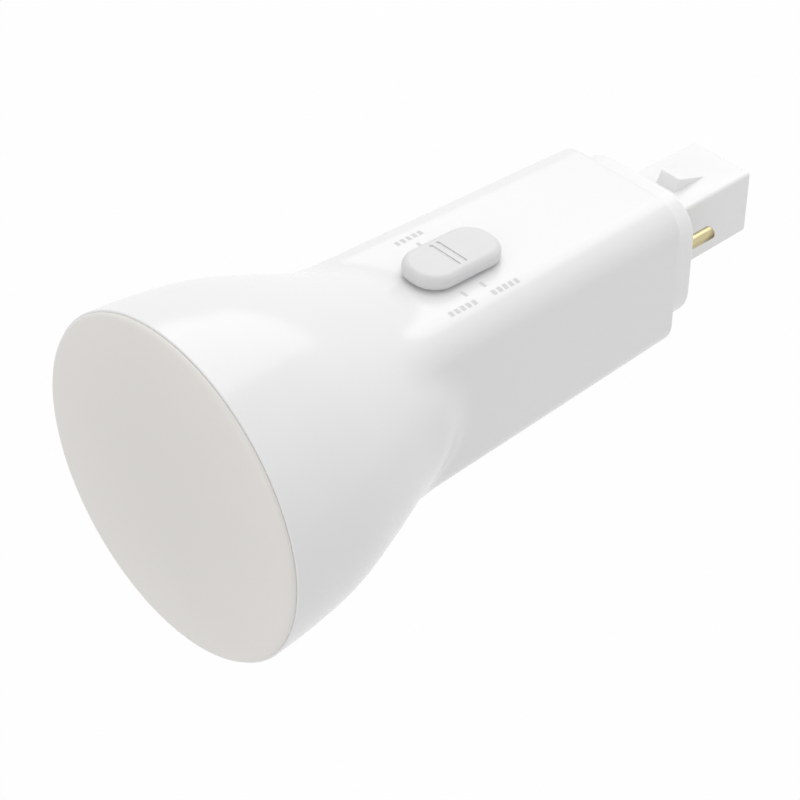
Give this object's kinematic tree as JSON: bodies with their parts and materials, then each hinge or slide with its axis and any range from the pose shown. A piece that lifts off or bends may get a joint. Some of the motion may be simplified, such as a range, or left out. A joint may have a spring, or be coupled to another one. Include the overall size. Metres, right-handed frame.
{
  "type": "LED plug-in lamp",
  "caption": "White LED lamp with a round horn front, opal diffuser, square sleeve, keyed two-pin plug base and a sliding colour selector.",
  "frame": {"origin": "centre of the base's seating face, on the axis of the lamp", "axes": "+Y into the holder, so the light leaves towards -Y; +Z through the colour selector"},
  "size_m": [0.062, 0.1297, 0.062],
  "materials": {
    "white_gloss": "smooth moulded gloss",
    "opal": "fine satin, light-scattering",
    "grey_satin": "satin moulded",
    "pin_brass": "polished",
    "bare_aluminium": "pressed sheet",
    "white_mask": "matt solder mask",
    "phosphor_warm": "phosphor",
    "phosphor_cool": "phosphor",
    "screw_steel": "zinc plated",
    "white_nylon": "moulded",
    "green_board": "solder mask",
    "ferrite": "sintered",
    "winding_tape": "tape over wire",
    "can_sleeve": "shrink sleeve",
    "film_yellow": "moulded case",
    "resistor_coat": "coated",
    "varistor_coat": "dipped coat",
    "black_epoxy": "moulded",
    "switch_metal": "plated shell",
    "wire_red": "insulated wire",
    "wire_white": "insulated wire"
  },
  "bodies": {
    "lamp": {"housing": "white_gloss", "base_cap": "white_gloss", "diffuser": "opal", "pin_near": "pin_brass", "pin_far": "pin_brass", "heat_spreader": "bare_aluminium", "led_board": "white_mask", "leds_warm": "phosphor_warm", "leds_cool": "phosphor_cool", "board_screws": "screw_steel", "led_plug": "white_nylon", "driver_board": "green_board", "transformer_core": "ferrite", "transformer_winding": "winding_tape", "bulk_capacitor": "can_sleeve", "output_capacitor": "can_sleeve", "film_capacitor": "film_yellow", "input_choke": "ferrite", "fuse_resistor": "resistor_coat", "varistor": "varistor_coat", "bridge_rectifier": "black_epoxy", "driver_chip": "black_epoxy", "chip_parts": "black_epoxy", "switch_body": "switch_metal", "input_wires": "wire_red", "output_wires": "wire_white"},
    "selector": {"selector_knob": "grey_satin", "switch_toggle": "black_epoxy"}
  },
  "joints": [
    {"name": "selector_slide", "type": "slide", "parent": "lamp", "child": "selector", "axis": [0, 0.9997, -0.0249], "range_m": [-0.002, 0.002]}
  ]
}
